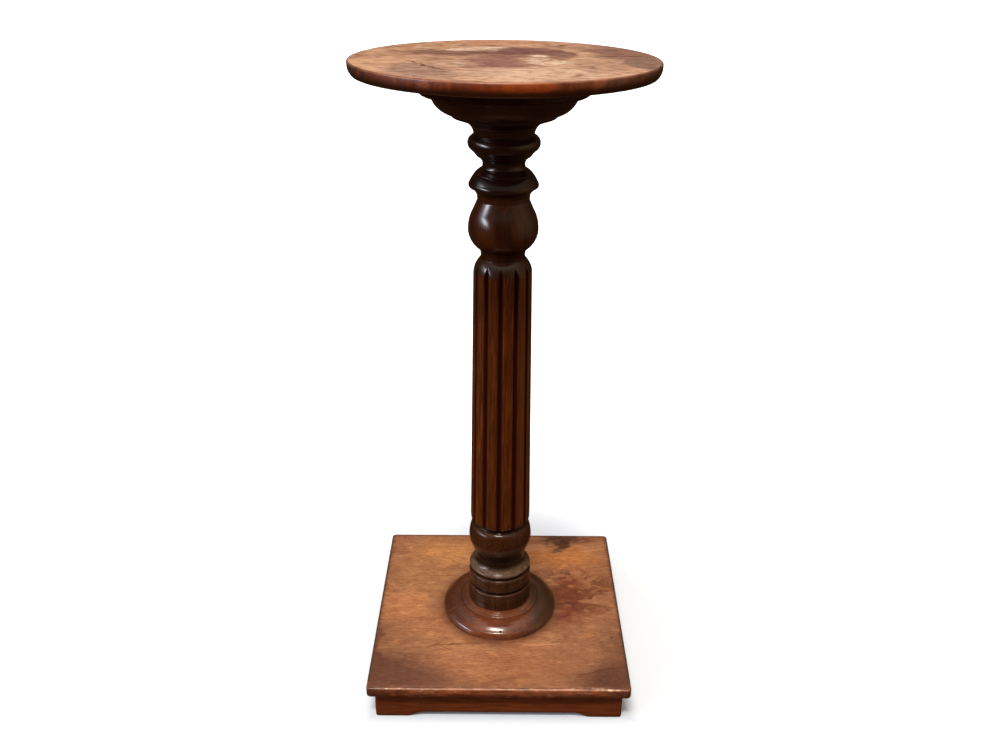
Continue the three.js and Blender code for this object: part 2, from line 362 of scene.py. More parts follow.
def collar():
    """The domed collar: its outline turned about the axis, with one nail hole sunk along the
    dome's normal by its depth times a smooth step of the distance from its middle."""
    line = turned_line(COLLAR_MARKS, 0.6 * MM, 6 * MM, 0.3 * MM)
    hole_turn, hole_radius, hole_size, hole_depth = NAIL_HOLE
    even = np.linspace(-math.pi, math.pi, AROUND_COLLAR, endpoint=False)
    close = math.radians(hole_turn) + np.linspace(-3, 3, 26) * hole_size / hole_radius
    angle = np.unique(np.concatenate([even, close]))
    rings = spun(line[:, 0, None], line[:, 1, None], angle)
    dome = np.nonzero(line[:, 0] > hole_radius)[0][0]
    middle = spun(line[dome, 0], line[dome, 1], math.radians(hole_turn))
    apart = np.linalg.norm(rings - middle, axis=-1)
    sunk = 1 - smoothstep(0.45 * hole_size, hole_size, apart)
    inward = np.array([0, 1, -1]) / math.sqrt(2)
    rings = rings + (hole_depth * sunk)[..., None] * inward
    marks = {**edge_marks(line), "hole": sunk, "plank": plank(rings)}
    return ringed("domed_collar", rings, marks)


def square_plan(step):
    """A round-cornered square as core points and outward normals. The outline at a depth d
    inside the edge is core + (corner - d) normal, and further in the core shrinks towards
    the middle."""
    core_half = BOARD_HALF - BOARD_CORNER
    count = math.ceil(2 * core_half / step)
    side = np.linspace(-core_half, core_half, count + 1)
    bend = np.linspace(0, math.pi / 2, 10)[1:]
    cores, normals = [], []
    for turn in range(4):
        a = turn * math.pi / 2
        spin = np.array([[math.cos(a), -math.sin(a)], [math.sin(a), math.cos(a)]])
        straight = np.stack([side, np.full(len(side), -core_half)], -1)
        corner = np.full((len(bend) - 1, 2), (core_half, -core_half))
        out = np.stack([np.sin(bend[:-1]), -np.cos(bend[:-1])], -1)
        cores.append(np.concatenate([straight, corner]) @ spin.T)
        normals.append(np.concatenate([np.tile((0.0, -1.0), (len(side), 1)), out]) @ spin.T)
    return np.concatenate(cores), np.concatenate(normals)


def base_board():
    """The square base board: round-cornered squares at the depths and heights of its section,
    which runs over the upper face, round its edge and back under the board. The front arris is
    pressed in at each dent, by its depth times exp(-(distance along the edge / half length)^2)."""
    low, high = BOARD_LOW.z, BOARD_HIGH.z
    quarter = np.linspace(0, math.pi / 2, 7)
    face = np.linspace(BOARD_HALF, BOARD_UPPER_ROUND, 30, endpoint=False)
    upper = BOARD_UPPER_ROUND * (1 - np.sin(quarter)), high - BOARD_UPPER_ROUND * (1 - np.cos(quarter))
    lower = BOARD_LOWER_ROUND * (1 - np.cos(quarter)), low + BOARD_LOWER_ROUND * (1 - np.sin(quarter))
    under = np.linspace(BOARD_LOWER_ROUND, BOARD_HALF, 12)[1:]
    depth = np.concatenate([face, upper[0], lower[0], under])
    height = np.concatenate([np.full(len(face), high), upper[1], lower[1], np.full(len(under), low)])
    line = np.stack([BOARD_HALF - depth, height], -1)
    cores, normals = square_plan(2.5 * MM)
    d = depth[:, None, None]
    shrink = np.clip((BOARD_HALF - d) / (BOARD_HALF - BOARD_CORNER), 0, 1)
    flat = np.where(d < BOARD_CORNER, cores + (BOARD_CORNER - d) * normals, cores * shrink)
    rings = np.concatenate([flat, np.broadcast_to(height[:, None, None], flat.shape[:2] + (1,))], -1)
    apart = np.hypot(rings[..., 1] + BOARD_HALF, rings[..., 2] - high)
    near = 1 - smoothstep(0.5 * MM, 3.5 * MM, apart)
    for place, half_length, dent in EDGE_DENTS:
        bell = np.exp(-(((rings[..., 0] - place * MM) / (half_length * MM)) ** 2))
        rings = rings + (bell * near * dent * MM)[..., None] * np.array([0, 0.6, -0.8])
    side = smoothstep(0.4 * MM, 2 * MM, high - height)[:, None]
    marks = {**edge_marks(line), "rim": side, "margin": depth[:, None], "plank": plank(rings)}
    return ringed("square_base_board", rings, marks)


def arch_height(along):
    """Height of a rail's lower edge at a distance from its middle: 0 under the foot, then the
    S-curve of a cubic with level handles up to the cut-out."""
    t = np.linspace(0, 1, 40)
    run = 3 * (1 - t) ** 2 * t * ARCH_LEAN + 3 * (1 - t) * t**2 * (1 - ARCH_LEAN) + t**3
    rise = 3 * (1 - t) * t**2 + t**3
    foot_end = RAIL_OUTER - FOOT_LENGTH
    return np.interp(foot_end - np.abs(along), run * ARCH_RUN, rise * ARCH_RISE)


def rail(side, turn):
    """One mitred rail: a rectangle with small round edges, drawn along the rail. At a depth d
    behind the outer face the rail is shorter by d at each end, and its lower part follows the
    cut-out. Towards each end the outer face bends in by R (1 - cos(angle)), up to 45 degrees at
    the mitre."""
    quarter = np.linspace(0, math.pi / 2, 4)
    out, up = RAIL_ROUND * (1 - np.cos(quarter)), RAIL_ROUND * (1 - np.sin(quarter))
    face = np.linspace(RAIL_ROUND, RAIL_TOP - RAIL_ROUND, 8)[1:-1]
    depth = np.concatenate([np.zeros(6), out, RAIL_THICK - up, np.full(6, RAIL_THICK),
                            RAIL_THICK - out, up])
    rise = np.concatenate([face, RAIL_TOP - up, RAIL_TOP - out, face[::-1], up, out])
    ends = smoothstep(0, 1, np.linspace(0, 1, 9)) * RAIL_END
    half = RAIL_OUTER - MITRE_GAP
    middle = np.linspace(-half + RAIL_END, half - RAIL_END, 90)
    station = np.concatenate([-half + ends[:-1], middle, half - ends[-2::-1]])
    bend = np.clip((np.abs(station) - half + RAIL_CORNER) / RAIL_CORNER, 0, 1) * math.pi / 4
    outer_end = half - RAIL_CORNER * (1 - math.cos(math.pi / 4))
    place = np.where(bend > 0, half - RAIL_CORNER * (1 - np.sin(bend)), np.abs(station))
    place = place * np.sign(station)
    inset = (RAIL_CORNER * (1 - np.cos(bend)))[:, None] * (1 - depth / RAIL_THICK)
    end_depth = depth + RAIL_CORNER * (1 - math.cos(math.pi / 4)) * (1 - depth / RAIL_THICK)
    along = (place / outer_end)[:, None] * (half - end_depth)
    z = rise + arch_height(along) * (1 - rise / RAIL_TOP)
    local = np.stack([along, depth + inset - RAIL_OUTER, z], -1)
    a = turn * math.pi / 2
    spin = np.array([[math.cos(a), -math.sin(a), 0], [math.sin(a), math.cos(a), 0], [0, 0, 1]])
    rings = local @ spin.T
    lower = 1 - smoothstep(0.5 * MM, 3 * MM, rise)
    outer = depth < RAIL_THICK / 2
    marks = {
        "arris": np.broadcast_to(lower * outer, along.shape),
        "plank": plank(local, shift=np.array([turn * 0.7, 0, turn * 0.3])),
    }
    first, last = (rings[end].mean(0) * np.ones_like(rings[:1]) for end in (0, -1))
    rings = np.concatenate([first, rings, last])
    marks = {mark: np.concatenate([v[:1], v, v[-1:]]) for mark, v in marks.items()}
    return ringed(f"rail_{side}", rings, marks)


# Finishes
def paint(red, green, blue):
    """A screen colour, 0 to 255, as the linear light that a shader takes."""
    share = np.array([red, green, blue]) / 255
    linear = np.where(share <= 0.04045, share / 12.92, ((share + 0.055) / 1.055) ** 2.4)
    return (*linear.tolist(), 1.0)


class Nodes:
    """Shader nodes, added to a tree one call at a time."""

    def __init__(self, tree):
        self.tree = tree

    def node(self, kind, inputs, **settings):
        """A node with its settings. Inputs are values or sockets, by name or number."""
        made = self.tree.nodes.new("ShaderNode" + kind)
        for key, value in settings.items():
            setattr(made, key, value)
        for key, value in inputs.items():
            if isinstance(value, bpy.types.NodeSocket):
                self.tree.links.new(value, made.inputs[key])
            else:
                made.inputs[key].default_value = value
        return made

    def math(self, operation, a, b=0.0):
        return self.node("Math", {0: a, 1: b}, operation=operation).outputs["Value"]

    def times(self, a, b):
        return self.math("MULTIPLY", a, b)

    def vector(self, operation, inputs, output="Vector"):
        return self.node("VectorMath", inputs, operation=operation).outputs[output]

    def moved(self, places, **inputs):
        """Places through a Mapping node."""
        return self.node("Mapping", {"Vector": places, **inputs}).outputs["Vector"]

    def ramp(self, value, low, high, to_low=0.0, to_high=1.0):
        """The value carried smoothly from low..high to to_low..to_high."""
        ends = {"From Min": low, "From Max": high, "To Min": to_low, "To Max": to_high}
        made = self.node("MapRange", {"Value": value, **ends}, interpolation_type="SMOOTHSTEP")
        return made.outputs["Result"]

    def mix(self, share, a, b, way="MIX"):
        """Colour a turned into colour b by a share."""
        made = self.node("Mix", {0: share, 6: a, 7: b}, data_type="RGBA", blend_type=way)
        return made.outputs[2]


class Finish(Nodes):
    """A material whose figure follows the plank that its piece was cut from. Its colour is laid
    on in steps, and colour holds what has been laid on so far."""

    def __init__(self, name):
        self.material = bpy.data.materials.new(name)
        self.material.use_nodes = True
        super().__init__(self.material.node_tree)
        self.shader = self.tree.nodes["Principled BSDF"]
        self.colour = None
        self.plank = self.node("Attribute", {}, attribute_name="plank").outputs["Vector"]

    def mark(self, name):
        """A value that the piece carries at each point."""
        return self.node("Attribute", {}, attribute_name=name).outputs["Fac"]

    def axes(self):
        """The three numbers of a place in the plank."""
        return self.node("SeparateXYZ", {0: self.plank}).outputs

    def noise(self, places, width, detail, distortion=0.0, output="Fac"):
        """Noise in patches of about this width in mm."""
        scale = 1 / (width * MM)
        inputs = {"Vector": places, "Scale": scale, "Detail": detail, "Distortion": distortion}
        return self.node("TexNoise", inputs).outputs[output]

    def grain(self, width, stretch, detail=3.0, shift=0.0, distortion=0.0, output="Fac"):
        """Noise in patches of about this width in mm, drawn out along the grain."""
        places = self.moved(self.plank, Location=(shift, shift, shift), Scale=(1 / stretch, 1, 1))
        return self.noise(places, width, detail, distortion, output)

    def figure(self, width, stretch, lines, shift=0.0):
        """Growth rings as the saw shows them: the sine of a slow noise times a number of
        lines, from 0 to 1."""
        slow = self.grain(width, stretch, detail=1.5, shift=shift, distortion=0.3)
        wave = self.math("SINE", self.times(slow, 2 * math.pi * lines))
        return self.ramp(wave, -1, 1)

    def drift(self, wide, far, fine, near, shift=0.0):
        """Places on the board moved about by two noises, so that what is laid out on them gets
        a wandering, ragged border: moved as far as far by patches of width wide, and as far as
        near by patches of width fine, all in mm."""
        places = self.plank
        for width, reach, detail in ((wide, far * MM, 1.0), (fine, near * MM, 4.0)):
            colour = self.grain(width, 1.6, detail, shift + reach, output="Color")
            spread = {0: colour, 1: (4 * reach, 4 * reach, 0), 2: (-2 * reach, -2 * reach, 0)}
            places = self.vector("ADD", {0: places, 1: self.vector("MULTIPLY_ADD", spread)})
        return places

    def blot(self, places, middle, size, soft, turn=0):
        """1 inside an ellipse of half lengths size about its middle, 0 outside, in millimetres
        in plan."""
        inputs = {
            "Vector": places,
            "Location": (middle[0] * MM, middle[1] * MM, 0),
            "Rotation": (0, 0, math.radians(turn)),
            "Scale": (size[0] * MM, size[1] * MM, 10),
        }
        inside = self.node("Mapping", inputs, vector_type="TEXTURE").outputs["Vector"]
        return self.ramp(self.vector("LENGTH", {0: inside}, "Value"), 1 + soft, 1 - soft)

    def from_middle(self, places, middle=(0, 0)):
        """Distance in plan from a place given in millimetres."""
        flat = self.moved(places, Location=(-middle[0] * MM, -middle[1] * MM, 0), Scale=(1, 1, 0))
        return self.vector("LENGTH", {0: flat}, "Value")

    def climb(self, height, between, to_low=0.0, to_high=1.0):
        """A ramp between two heights in millimetres above the base board."""
        low, high = (BOARD_TOP + mark * MM for mark in between)
        return self.ramp(height, low, high, to_low, to_high)

    def zone(self, height, low, high):
        """1 between two climbs, one upwards at the low end and one downwards at the high end."""
        return self.times(self.climb(height, low), self.climb(height, high))

    def frayed(self, value, amount, width, stretch, shift=3.0):
        """The value with noise about zero added, which frays a border by an amount in mm."""
        centred = self.math("SUBTRACT", self.grain(width, stretch, detail=4.0, shift=shift), 0.5)
        return self.math("ADD", value, self.times(centred, amount * MM))

    def tones(self, value, low, high, first, second):
        """One colour that turns into a second as the value goes from low to high."""
        return self.mix(self.ramp(value, low, high), paint(*first), paint(*second))

    def lay(self, mask, over, share=1, way="MIX"):
        """Lays another colour over the one so far where the mask is 1, at most by the share."""
        mask = self.times(mask, share) if share < 1 else mask
        self.colour = self.mix(mask, self.colour, paint(*over), way)

    def tint(self, value, low, high, share, over, way="MIX"):
        """Lays another colour over the one so far, by up to the share, as the value goes from
        low to high."""
        self.lay(self.ramp(value, low, high, 0, share), over, way=way)

    def blots(self, places, rows, soft):
        """Lays each row's blot over the colour so far."""
        for x, y, wide, high, share, over, *turn in rows:
            self.lay(self.blot(places, (x, y), (wide, high), soft, *turn), over, share)

    def finish(self, height, relief, **values):
        """Wires the colour and the bump, with its relief in mm, into the shader, sets its other
        values and gives the material back."""
        distance = relief * MM
        bump = self.node("Bump", {"Height": height, "Strength": 1.0, "Distance": distance})
        normal = bump.outputs["Normal"]
        values = {"Base Color": self.colour, "Normal": normal, "Coat Normal": normal, **values}
        for key, value in values.items():
            socket = self.shader.inputs[key.replace("_", " ")]
            if isinstance(value, bpy.types.NodeSocket):
                self.tree.links.new(value, socket)
            else:
                socket.default_value = value
        return self.material


# Blots on the round top: middle and half lengths in mm, share, colour and any turn in degrees
# The pale blots and the purplish ones are partly the wood's tone and partly a painted sheen.
TOP_BLOTS = [
    (-118, 118, 48, 46, 0.75, (214, 169, 127)), (-16, 168, 66, 30, 0.75, (226, 169, 133)),
    (104, 140, 36, 22, 0.7, (206, 154, 138), -20), (150, 62, 50, 70, 0.85, (152, 112, 98), 10),
    (-156, 30, 46, 26, 0.6, (212, 167, 136)), (-150, -52, 50, 48, 0.9, (240, 195, 158)),
    (-98, -114, 36, 56, 0.8, (186, 152, 136), 20), (38, -130, 90, 52, 0.95, (250, 214, 185)),
    (119, -52, 27, 62, 0.85, (212, 172, 144)), (-70, 48, 58, 24, 0.85, (142, 100, 88)),
    (24, 60, 54, 42, 1, (142, 98, 91)), (-14, -30, 34, 58, 0.85, (160, 116, 106)),
    (74, 40, 18, 32, 0.8, (150, 107, 97)), (-38, 90, 36, 17, 0.85, (240, 203, 183)),
]
TOP_STROKES = [
    (-114, -40, 20, 2, 0.85, (96, 64, 52), -62), (-92, -76, 20, 2.6, 0.8, (80, 51, 41), -58),
    (-74, -100, 16, 2.4, 0.9, (96, 64, 52), -40), (-60, -86, 16, 2, 0.8, (110, 75, 63), 20),
    (-150, -58, 46, 2, 0.75, (140, 98, 79), 2), (150, 24, 46, 2.2, 0.9, (98, 68, 59), 2),
    (82, -140, 16, 5, 0.75, (146, 105, 86), 70), (78, 128, 6, 16, 0.8, (118, 81, 68), -30),
    (-104, 84, 16, 4, 0.85, (104, 71, 56), -20), (-28, -172, 8, 2, 0.7, (104, 68, 54), -10),
    (-20, -60, 4, 26, 0.5, (120, 83, 75), 10), (24, 22, 50, 2, 0.5, (110, 77, 70)),
]
# On the rim, the orange blot at the front is a painted reflection of the lamp, and the narrow pale blot
# and the purplish grey one left of it are a painted reflection of the window.
RIM_BLOTS_AND_REFLECTIONS = [
    (30, -198, 30, 40, 0.9, (176, 80, 22)), (76, -184, 20, 36, 0.6, (84, 42, 22)),
    (-94, -174, 3.5, 30, 0.8, (136, 82, 62)), (-128, -152, 28, 30, 0.6, (96, 58, 52)),
    (108, -165, 8, 34, 0.75, (150, 88, 60)), (132, -148, 20, 34, 0.8, (84, 54, 44)),
    (-186, -66, 54, 70, 0.9, (60, 38, 31)), (180, -74, 46, 70, 0.9, (62, 42, 36)),
]
# Flaked places on the round top, with painted glints in them: middle and half lengths in mm, share
TOP_FLAKES_AND_GLINTS = [
    ((-40, 84), (38, 18), 1), ((38, 4), (12, 30), 0.9), ((50, -38), (32, 15), 1),
    ((-106, 98), (16, 7), 0.45), ((-62, -64), (26, 12), 0.4),
]
POT_RING = ((0, 16), 108 * MM, 16 * MM)  # the ring a pot left: middle in mm, radius and width
POT_RING_SIDE = ((110, 10), (60, 110))  # where it still shows, as a blot
GREY_END = ((196, -38), (52, 62))  # the grey patch at the right end, as a blot
# Painted shade on the rim's lower part, which curves under
RIM_SHADE = (853.6, 845.6)  # the rim darkens between these heights in mm above the base board


def worn_top():
    """Worn varnish on the round top: tan, peach and rosy brown patches on the face, with
    flaked spots, cracks and a pot's ring, and reddish brown on the rim. The face's pale tones
    and its purplish patches are partly a painted sheen, the flaked spots carry painted glints,
    and the rim has painted reflections and painted shade low down."""
    f = Finish("worn_top")
    places = f.drift(40, 13, 10, 6)
    wander = f.drift(22, 5, 5, 2, shift=4)
    broad = f.grain(30, 1.4, detail=4, distortion=0.5)
    patch = f.grain(9, 1.6, detail=6, shift=1.3)
    streak = f.grain(3.5, 7, detail=4, shift=5)
    fine = f.grain(1.3, 9, detail=3, shift=2.1)
    # The face is painted pale: the wood's tone with a painted sheen laid in.
    f.colour = f.tones(broad, 0.36, 0.64, (240, 195, 163), (190, 146, 120))
    f.blots(places, TOP_BLOTS, soft=0.46)
    middle, radius, width = POT_RING
    out = f.math("SUBTRACT", f.from_middle(places, middle), radius)
    ring = f.ramp(f.math("ABSOLUTE", out), width, 0.3 * width)
    side = f.blot(places, *POT_RING_SIDE, soft=0.3)
    f.lay(f.times(ring, side), (230, 188, 158), 0.75)
    f.lay(f.blot(wander, *GREY_END, soft=0.06), (158, 128, 113), 0.9)
    f.tint(patch, 0.5, 0.68, 0.9, (196, 190, 194), "MULTIPLY")
    f.tint(patch, 0.46, 0.3, 0.8, (110, 94, 84), "SCREEN")
    f.tint(streak, 0.5, 0.7, 0.8, (206, 203, 206), "MULTIPLY")
    rings = f.figure(50, 4, 14, shift=3)
    f.tint(rings, 0.55, 1, 0.5, (208, 205, 208), "MULTIPLY")
    f.blots(wander, TOP_STROKES, soft=0.5)
    # Flaked varnish painted paler, with near-white specks as painted glints
    speck = f.ramp(f.grain(7, 2.6, detail=4, shift=8, distortion=0.8), 0.5, 0.535)
    for middle, size, share in TOP_FLAKES_AND_GLINTS:
        flaked = f.times(f.blot(places, middle, size, soft=0.5), share)
        f.lay(flaked, (240, 205, 180), 0.16)
        f.lay(f.times(flaked, speck), (255, 238, 216), 0.95)
    f.tint(fine, 0.4, 0.7, 0.5, (150, 113, 99), "MULTIPLY")
    face = f.colour

    f.colour = f.tones(f.grain(16, 3, shift=7), 0.35, 0.68, (130, 53, 19), (98, 39, 13))
    # Rim blots, some of them painted reflections
    f.blots(places, RIM_BLOTS_AND_REFLECTIONS, soft=0.5)
    f.tint(streak, 0.45, 0.7, 0.4, (84, 31, 11))
    upright = f.noise(f.moved(f.plank, Scale=(1, 1, 0.2)), 9, detail=6.0)
    f.tint(upright, 0.5, 0.66, 0.4, (80, 32, 14))
    f.tint(upright, 0.46, 0.34, 0.3, (164, 80, 32))
    # Painted shade low on the rim
    f.lay(f.climb(f.axes()[2], RIM_SHADE), (48, 20, 9), 0.85)
    on_rim = f.ramp(f.mark("rim"), 0.3, 0.8)
    f.colour = f.mix(on_rim, face, f.colour)
    # Worn varnish on the arris, painted paler, which also works as a painted highlight
    worn_highlight = f.ramp(f.grain(20, 2, detail=5, shift=6), 0.36, 0.56, 0.2, 1)
    f.lay(f.times(f.mark("arris"), worn_highlight), (212, 156, 128), 0.3)
    height = f.math("ADD", f.times(fine, 0.5), patch)
    rough = f.ramp(on_rim, 0, 1, 0.5, 0.36)
    return f.finish(height, 0.3, Roughness=rough, Coat_Weight=0.25, Coat_Roughness=0.2)


# Heights in mm above the base board between which a finish changes. Where there are two
# pairs, it sets in between the first two and ends between the second two.
CAP_FOOT = (796, 786)
FLANGE = (816, 822)
NECK = (680, 694)
FOOT = (600, 570)
RING = (124, 134)
SHOULDER = (566, 574), (600, 592)
WAIST = (594, 602), (630, 615)
DISC = (85, 89), (103, 94)
# The hollow under the lower ring, painted near black as painted shade
SHADED_HOLLOW = (94, 102), (130, 120)


def dark_turning():
    """Near-black brown stain under gloss varnish, a little lighter along its edges."""
    f = Finish("dark_turning")
    streak = f.grain(4, 8, detail=4)
    pores = f.grain(0.8, 14, detail=2, shift=4)
    level = f.axes()[2]
    f.colour = f.tones(streak, 0.35, 0.7, (60, 20, 6), (34, 11, 3))
    f.lay(f.mark("arris"), (70, 28, 12), 0.2)
    f.lay(f.mark("corner"), (12, 3, 1))
    f.lay(f.climb(level, CAP_FOOT), (26, 7, 2), 0.7)
    gloss = f.climb(level, FLANGE, 0.6, 0.1)
    rough = f.ramp(streak, 0.3, 0.7, 0.4, 0.5)
    return f.finish(pores, 0.04, Roughness=rough, Coat_Weight=gloss, Coat_Roughness=0.3,
                    Specular_IOR_Level=0.15)


def brown_column():
    """Brown stain under varnish: near-black rings at the neck, a reddish dark bulb, brown reeds
    with an orange figure between dark red flutes, and an olive brown foot whose disc is worn
    paler. The shoulder's grey olive and the paler disc are partly a painted sheen, the reeds
    are painted lighter on the right as painted light, and the hollow under the lower ring is
    painted near black as painted shade."""
    f = Finish("brown_column")
    streak = f.grain(2.6, 14, detail=4)
    broad = f.grain(12, 9, detail=3, shift=2)
    thread = f.grain(1.9, 40, detail=3, shift=6)
    flame = f.grain(3, 22, detail=5, shift=5, distortion=0.3)
    pores = f.grain(0.7, 20, detail=2, shift=4)
    lathe = f.grain(12, 0.06, detail=5, shift=9)
    scuff = f.grain(3, 1.4, detail=6, shift=7)
    height, beside, _ = f.axes()
    foot = f.climb(height, FOOT)
    waist = f.zone(height, *WAIST)
    disc = f.zone(height, *DISC)
    f.colour = f.tones(broad, 0.35, 0.68, (86, 39, 13), (57, 25, 8))
    f.lay(f.climb(height, NECK), (38, 12, 5))
    f.colour = f.mix(foot, f.colour, f.tones(broad, 0.35, 0.68, (64, 35, 13), (45, 24, 8)))
    f.tint(streak, 0.45, 0.7, 0.5, (26, 10, 4))
    # The shoulder is painted grey olive: its stain with a painted sheen laid in.
    f.lay(f.zone(height, *SHOULDER), (56, 42, 30), 0.75)
    f.lay(waist, (42, 19, 8), 0.6)
    f.lay(f.times(f.climb(height, RING), foot), (58, 24, 2), 0.6)
    # The disc is painted paler: worn varnish with a painted satin sheen laid in, and paler lathe
    # scratches.
    f.lay(disc, (90, 72, 58), 0.75)
    f.lay(f.times(f.ramp(lathe, 0.5, 0.64, 0, 0.4), disc), (150, 124, 104))
    f.lay(f.times(f.ramp(scuff, 0.54, 0.7, 0, 0.3), foot), (96, 62, 36))
    f.lay(f.times(f.ramp(scuff, 0.46, 0.34, 0, 0.5), foot), (30, 14, 6))
    # Painted shade in the hollow under the lower ring
    f.lay(f.zone(height, *SHADED_HOLLOW), (20, 8, 2), 0.85)
    turned = f.colour

    f.colour = f.tones(streak, 0.34, 0.68, (102, 47, 10), (67, 28, 5))
    f.tint(broad, 0.42, 0.66, 0.45, (76, 40, 14))
    f.tint(flame, 0.52, 0.68, 0.7, (128, 63, 17))
    f.tint(thread, 0.53, 0.68, 0.6, (50, 20, 4))
    # The reeds on the right are painted lighter, a painted light from that side.
    f.tint(beside, 18 * MM, 34 * MM, 0.45, (108, 66, 30))
    left = f.times(f.ramp(beside, -28 * MM, -20 * MM), f.ramp(beside, 0, -8 * MM))
    f.lay(left, (56, 26, 6), 0.35)
    notch = f.mark("notch")
    f.colour = f.mix(f.mark("reeded"), turned, f.colour)
    f.lay(f.mark("arris"), (96, 54, 32), 0.3)
    f.tint(notch, 0.04, 0.5, 1, (46, 8, 2))
    f.lay(f.mark("corner"), (14, 5, 2))
    rough = f.math("ADD", f.ramp(streak, 0.3, 0.7, 0.34, 0.44), f.times(notch, 0.5))
    rough = f.math("ADD", rough, f.times(foot, 0.06))
    gloss = f.times(f.ramp(foot, 0, 1, 0.85, 0.42), f.ramp(notch, 0, 0.3, 1, 0))
    gloss = f.times(gloss, f.ramp(waist, 0, 1, 1, 0.15))
    return f.finish(pores, 0.04, Roughness=rough, Coat_Weight=gloss, Coat_Roughness=0.14,
                    Specular_IOR_Level=0.12)


def red_collar():
    """Reddish brown stain under gloss varnish, finely scuffed, with a dark incised line. Its left
    and right sides are painted darker as painted shade. Fine lines run round it: noise over the
    radius, drawn out 24 times along the turning."""
    f = Finish("red_collar")
    broad = f.grain(34, 1.5, detail=3)
    streak = f.grain(2, 6, detail=4, shift=3)
    scuff = f.grain(2.4, 1.2, detail=6, shift=7)
    cloud = f.grain(14, 1.3, detail=5, shift=15)
    across, away, _ = f.axes()
    radius = f.times(f.from_middle(f.plank), 24)
    round_about = f.node("CombineXYZ", {0: radius, 1: away, 2: across})
    turned = f.noise(round_about.outputs["Vector"], 22, detail=4.0)
    f.colour = f.tones(broad, 0.36, 0.66, (110, 55, 28), (84, 41, 22))
    f.tint(turned, 0.52, 0.68, 0.4, (132, 82, 56))
    f.tint(turned, 0.46, 0.34, 0.4, (56, 27, 16))
    f.tint(cloud, 0.48, 0.66, 0.45, (66, 34, 20))
    shade = f.frayed(away, 60, 16, 1)
    # Painted shade on the collar's left side
    left = f.times(f.ramp(across, -26 * MM, -70 * MM), f.ramp(shade, -80 * MM, -44 * MM))
    f.lay(left, (58, 32, 20), 0.75)
    f.tint(streak, 0.45, 0.7, 0.4, (62, 30, 18))
    f.tint(scuff, 0.54, 0.68, 0.35, (132, 80, 56))
    side = f.frayed(across, 24, 14, 1, shift=18)
    # Painted shade on the collar's right side
    right = f.times(f.ramp(side, 42 * MM, 58 * MM), f.ramp(shade, -84 * MM, -50 * MM))
    f.lay(right, (48, 35, 23), 0.85)
    f.lay(f.mark("arris"), (156, 98, 68), 0.7)
    f.lay(f.mark("corner"), (34, 14, 8))
    f.lay(f.mark("hole"), (26, 12, 8))
    height = f.math("ADD", streak, f.times(scuff, 0.5))
    rough = f.ramp(broad, 0.3, 0.7, 0.36, 0.42)
    return f.finish(height, 0.05, Roughness=rough, Coat_Weight=1.0, Coat_Roughness=0.16,
                    Specular_IOR_Level=0.1)


# Blots on the base board: middle and half lengths in mm, share, colour and any turn in degrees
BOARD_BLOTS = [
    (-96, 139, 58, 36, 0.8, (190, 133, 79)), (-139, 68, 54, 60, 0.7, (168, 117, 76)),
    (-160, -10, 40, 30, 0.6, (200, 132, 84)), (-168, -68, 46, 24, 0.75, (144, 96, 64)),
    (-70, -40, 60, 40, 0.5, (186, 122, 82)), (102, 128, 66, 32, 0.9, (177, 114, 60)),
    (140, 66, 50, 40, 0.7, (160, 104, 68)), (110, 4, 28, 60, 0.95, (112, 48, 28)),
    (168, 10, 32, 62, 0.8, (166, 114, 82)), (150, -112, 66, 68, 0.8, (148, 100, 70)),
    (-75, -148, 44, 36, 0.8, (174, 117, 83)), (30, -140, 66, 44, 0.7, (160, 103, 72)),
    (107, 184, 34, 18, 1, (34, 8, 3)), (107, 166, 14, 20, 0.95, (42, 14, 8)),
    (150, 184, 26, 8, 0.8, (92, 52, 34)), (-192, -120, 12, 60, 0.85, (86, 47, 31)),
]
BOARD_CORNERS = [
    (-176, -168, 70, 52, 0.9, (90, 52, 37), 10), (-112, -180, 46, 34, 0.7, (100, 62, 48)),
    (182, -174, 64, 36, 0.95, (78, 43, 30), 12), (186, -120, 30, 60, 0.5, (104, 66, 46)),
]
BOARD_STROKES = [
    (-64, -98, 36, 1.8, 0.8, (116, 68, 44), 3), (-84, -106, 14, 1.6, 0.45, (112, 66, 42), -35),
    (-100, -100, 16, 1.6, 0.45, (118, 70, 44), 30), (60, -97, 46, 1.4, 0.5, (210, 150, 110)),
    (176.6, -81, 3, 2.6, 0.95, (80, 50, 36)), (-160, 140, 10, 2, 0.6, (120, 76, 44), 10),
    (158, -152, 36, 2, 0.8, (84, 46, 32), 14), (-140, -62, 50, 1.6, 0.6, (124, 78, 50), -4),
    (-30, -60, 40, 1.4, 0.4, (130, 82, 54), 2),
]
TIDE_AREA = ((122, 30), (64, 62))  # where water stained the board, as a blot
EDGE_SHADE = (-7, -14)  # the board's edge darkens between these heights in mm


